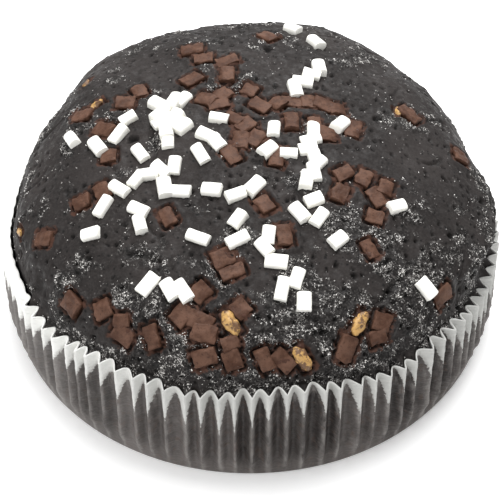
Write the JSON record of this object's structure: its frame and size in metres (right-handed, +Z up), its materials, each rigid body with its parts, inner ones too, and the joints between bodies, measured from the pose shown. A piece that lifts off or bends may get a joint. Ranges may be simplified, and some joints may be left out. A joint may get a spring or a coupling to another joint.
{
  "type": "brownie cake",
  "caption": "Round domed dark chocolate brownie cake in a fluted paper baking case, topped with white and milk chocolate bars and bits of nut.",
  "frame": {"origin": "middle of the flat base of the paper case", "axes": "+Z up through the crown, -Y towards the side seen in the picture, +X to its right"},
  "size_m": [0.186, 0.186, 0.0829],
  "materials": {
    "crumb": "very dark baked chocolate crust, pebbly, partly glossy",
    "paper": "thin white baking paper, stained dark by fat where it touches the cake",
    "white_chocolate": "satin white chocolate",
    "milk_chocolate": "satin red-brown chocolate, slightly melted",
    "nut": "golden roasted nut"
  },
  "bodies": {
    "root": {"cake": "crumb", "paper_case": "paper"}
  },
  "joints": []
}
